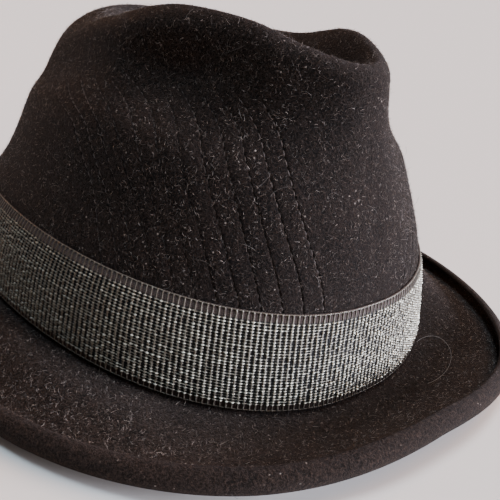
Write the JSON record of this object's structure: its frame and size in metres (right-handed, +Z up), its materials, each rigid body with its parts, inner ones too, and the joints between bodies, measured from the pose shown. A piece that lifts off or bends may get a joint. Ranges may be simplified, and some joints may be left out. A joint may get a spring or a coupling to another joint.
{
  "type": "felt hat with a narrow rolled brim and a ribbon band",
  "caption": "Dark felt hat with a dented, pinched crown, a wide woven ribbon band and a narrow brim with an upturned rolled edge.",
  "frame": {"origin": "middle of the bounding box, at the level of the surface that the hat rests on", "axes": "+X to the hat's front, +Y to the wearer's left, +Z up"},
  "size_m": [0.2658, 0.2242, 0.1128],
  "materials": {
    "felt": "fine napped wool or fur felt, charcoal brown, matt",
    "ribbon": "open woven ribbon of silvery beige yarn over a near-black ground, satin"
  },
  "bodies": {
    "root": {"felt_body": "felt", "ribbon_band": "ribbon"}
  },
  "joints": []
}
